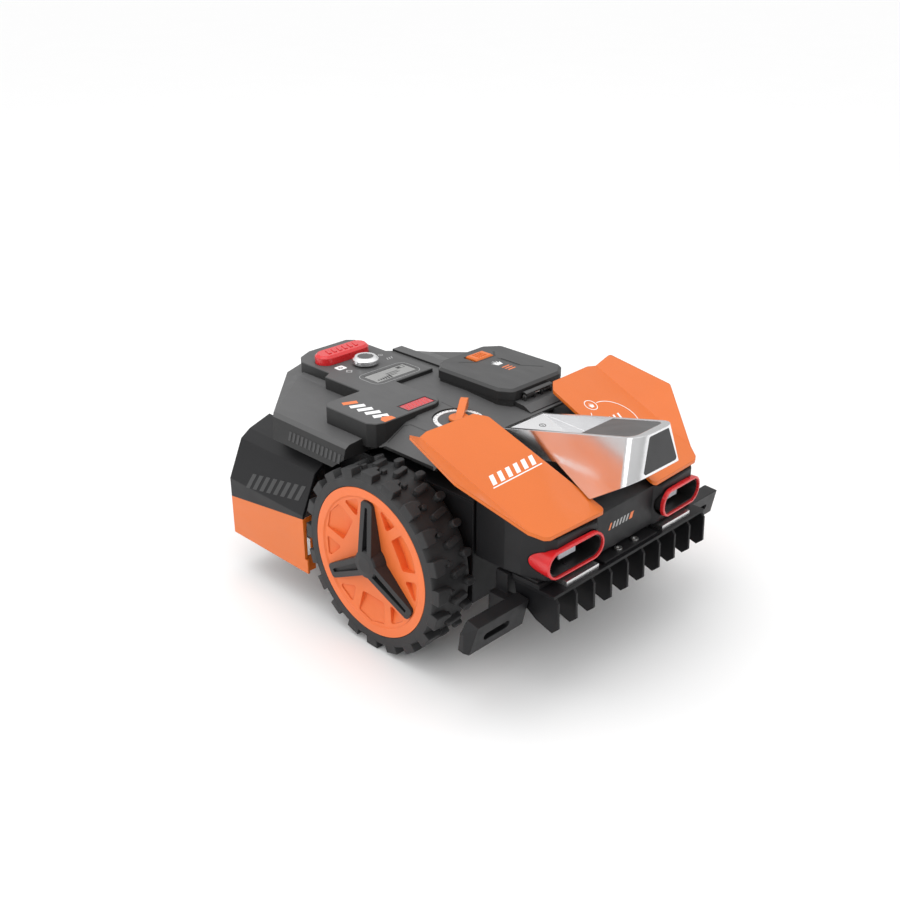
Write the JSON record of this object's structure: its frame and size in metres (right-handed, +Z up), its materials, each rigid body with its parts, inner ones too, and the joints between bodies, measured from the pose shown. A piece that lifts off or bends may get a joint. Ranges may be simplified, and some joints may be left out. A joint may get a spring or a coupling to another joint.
{
  "type": "robotic lawn mower",
  "caption": "Low robotic lawn mower with large lugged drive wheels, an edge guard over an offset blade disc, a front grass comb, twin lamps, a raised snout grip and a lidded battery bay.",
  "frame": {"origin": "on the ground, at the centre of the machine's bounding box", "axes": "+Z up, -Y the front of the machine, +X its left side; X = 0 is its middle plane"},
  "size_m": [0.483, 0.58, 0.3045],
  "materials": {
    "cover_grey": "fine moulded texture",
    "black_plastic": "satin moulded",
    "comb_black": "satin moulded",
    "orange_plastic": "satin gloss",
    "wheel_orange": "satin moulded",
    "hub_black": "satin moulded",
    "red_plastic": "gloss",
    "red_window": "gloss",
    "bright_chrome": "polished",
    "tyre_rubber": "matt rubber",
    "soft_rubber": "matt rubber",
    "steel": "brushed",
    "clear_lens": "clear",
    "dark_window": "gloss",
    "display": "satin",
    "white_scale": "printed",
    "circuit_board": "solder mask",
    "battery_case": "satin moulded",
    "camera_black": "matt"
  },
  "bodies": {
    "chassis": {"battery_bay": "black_plastic", "battery_pack": "battery_case", "body_screws": "steel", "bumper_arm_left": "black_plastic", "bumper_arm_right": "black_plastic", "caster_bush": "black_plastic", "charging_contacts": "steel", "chassis_tub": "black_plastic", "comb_clamp_plate": "black_plastic", "cover_mounts": "soft_rubber", "cutter_guide_posts": "steel", "deck_plate": "black_plastic", "drive_gearmotors": "steel", "edge_guard_shell": "black_plastic", "edge_guard_skirt": "orange_plastic", "front_fascia": "black_plastic", "grass_comb": "comb_black", "headlamp_bezel_left": "red_plastic", "headlamp_bezel_right": "red_plastic", "headlamp_lenses": "clear_lens", "headlamp_shrouds": "black_plastic", "main_pcb": "circuit_board"},
    "cover": {"top_cover": "cover_grey", "console": "cover_grey", "lcd_display": "display", "indicator_window": "red_window", "dial_ring": "white_scale", "snout_shell": "bright_chrome", "snout_plate": "hub_black", "camera_window": "dark_window", "camera_module": "camera_black", "wing_panel_right": "orange_plastic", "wing_panel_left": "orange_plastic", "lid_hinge_pin": "steel"},
    "wheel_right": {"tyre_right": "tyre_rubber", "wheel_rim_right": "wheel_orange", "hub_star_right": "hub_black", "wheel_axle_right": "steel"},
    "wheel_left": {"tyre_left": "tyre_rubber", "wheel_rim_left": "wheel_orange", "hub_star_left": "hub_black", "wheel_axle_left": "steel"},
    "caster_fork": {"caster_fork": "black_plastic", "caster_axle": "steel"},
    "caster_wheel": {"caster_hub": "hub_black", "caster_tyre": "tyre_rubber"},
    "cutter": {"cutter_carriage": "black_plastic"},
    "disc": {"blade_disc": "steel", "cutter_spindle": "steel", "blade_bolts": "steel"},
    "blade_1": {"blade_1": "steel"},
    "blade_2": {"blade_2": "steel"},
    "blade_3": {"blade_3": "steel"},
    "stop_button": {"stop_button": "red_plastic"},
    "knob_stem": {"knob_stem": "steel"},
    "knob": {"control_knob": "bright_chrome", "knob_cap": "hub_black"},
    "battery_lid": {"battery_lid": "cover_grey"},
    "latch": {"lid_latch": "orange_plastic"},
    "height_lever": {"height_lever": "orange_plastic"}
  },
  "joints": [
    {"name": "cover_float", "type": "slide", "parent": "chassis", "child": "cover", "axis": [0, 1, 0], "range_m": [-0.004, 0.004], "stiffness_N_per_m": 4000},
    {"name": "wheel_right_spin", "type": "hinge", "parent": "chassis", "child": "wheel_right", "pos_m": [-0.189, -0.033, 0.12], "axis": [1, 0, 0], "continuous": true},
    {"name": "wheel_left_spin", "type": "hinge", "parent": "chassis", "child": "wheel_left", "pos_m": [0.189, -0.033, 0.12], "axis": [1, 0, 0], "continuous": true},
    {"name": "caster_swivel", "type": "hinge", "parent": "chassis", "child": "caster_fork", "pos_m": [0.045, 0.212, 0.08], "axis": [0, 0, 1], "continuous": true},
    {"name": "caster_roll", "type": "hinge", "parent": "caster_fork", "child": "caster_wheel", "pos_m": [0.045, 0.232, 0.03], "axis": [1, 0, 0], "continuous": true},
    {"name": "cutter_lift", "type": "slide", "parent": "chassis", "child": "cutter", "axis": [0, 0, 1], "range_m": [-0.015, 0.015]},
    {"name": "disc_spin", "type": "hinge", "parent": "cutter", "child": "disc", "pos_m": [-0.095, 0.165, 0.048], "axis": [0, 0, 1], "continuous": true},
    {"name": "blade_1_swing", "type": "hinge", "parent": "disc", "child": "blade_1", "pos_m": [-0.04614, 0.18279, 0.0444], "axis": [0, 0, 1], "range_deg": [-100, 100]},
    {"name": "blade_2_swing", "type": "hinge", "parent": "disc", "child": "blade_2", "pos_m": [-0.13483, 0.19842, 0.0444], "axis": [0, 0, 1], "range_deg": [-100, 100]},
    {"name": "blade_3_swing", "type": "hinge", "parent": "disc", "child": "blade_3", "pos_m": [-0.10403, 0.11379, 0.0444], "axis": [0, 0, 1], "range_deg": [-100, 100]},
    {"name": "height_turn", "type": "hinge", "parent": "cover", "child": "height_lever", "pos_m": [-0.062, -0.03, 0.26], "axis": [0, 0, 1], "range_deg": [-60, 60]},
    {"name": "stop_press", "type": "slide", "parent": "cover", "child": "stop_button", "axis": [0, 0, -1], "range_m": [0, 0.003], "stiffness_N_per_m": 900, "springref_m": -0.003},
    {"name": "knob_press", "type": "slide", "parent": "cover", "child": "knob_stem", "axis": [0, 0, -1], "range_m": [0, 0.002], "stiffness_N_per_m": 900, "springref_m": -0.003},
    {"name": "knob_turn", "type": "hinge", "parent": "knob_stem", "child": "knob", "pos_m": [-0.031, 0.18, 0.275], "axis": [0, 0, 1], "continuous": true},
    {"name": "lid_open", "type": "hinge", "parent": "cover", "child": "battery_lid", "pos_m": [0.0685, -0.053, 0.2685], "axis": [1, 0, 0], "range_deg": [0, 65]},
    {"name": "latch_slide", "type": "slide", "parent": "battery_lid", "child": "latch", "axis": [-1, 0, 0], "range_m": [0, 0.004], "stiffness_N_per_m": 400, "springref_m": -0.003}
  ],
  "couplings": [
    {"joint": "height_turn", "follows": "cutter_lift", "rad_per_m": 69.8}
  ]
}
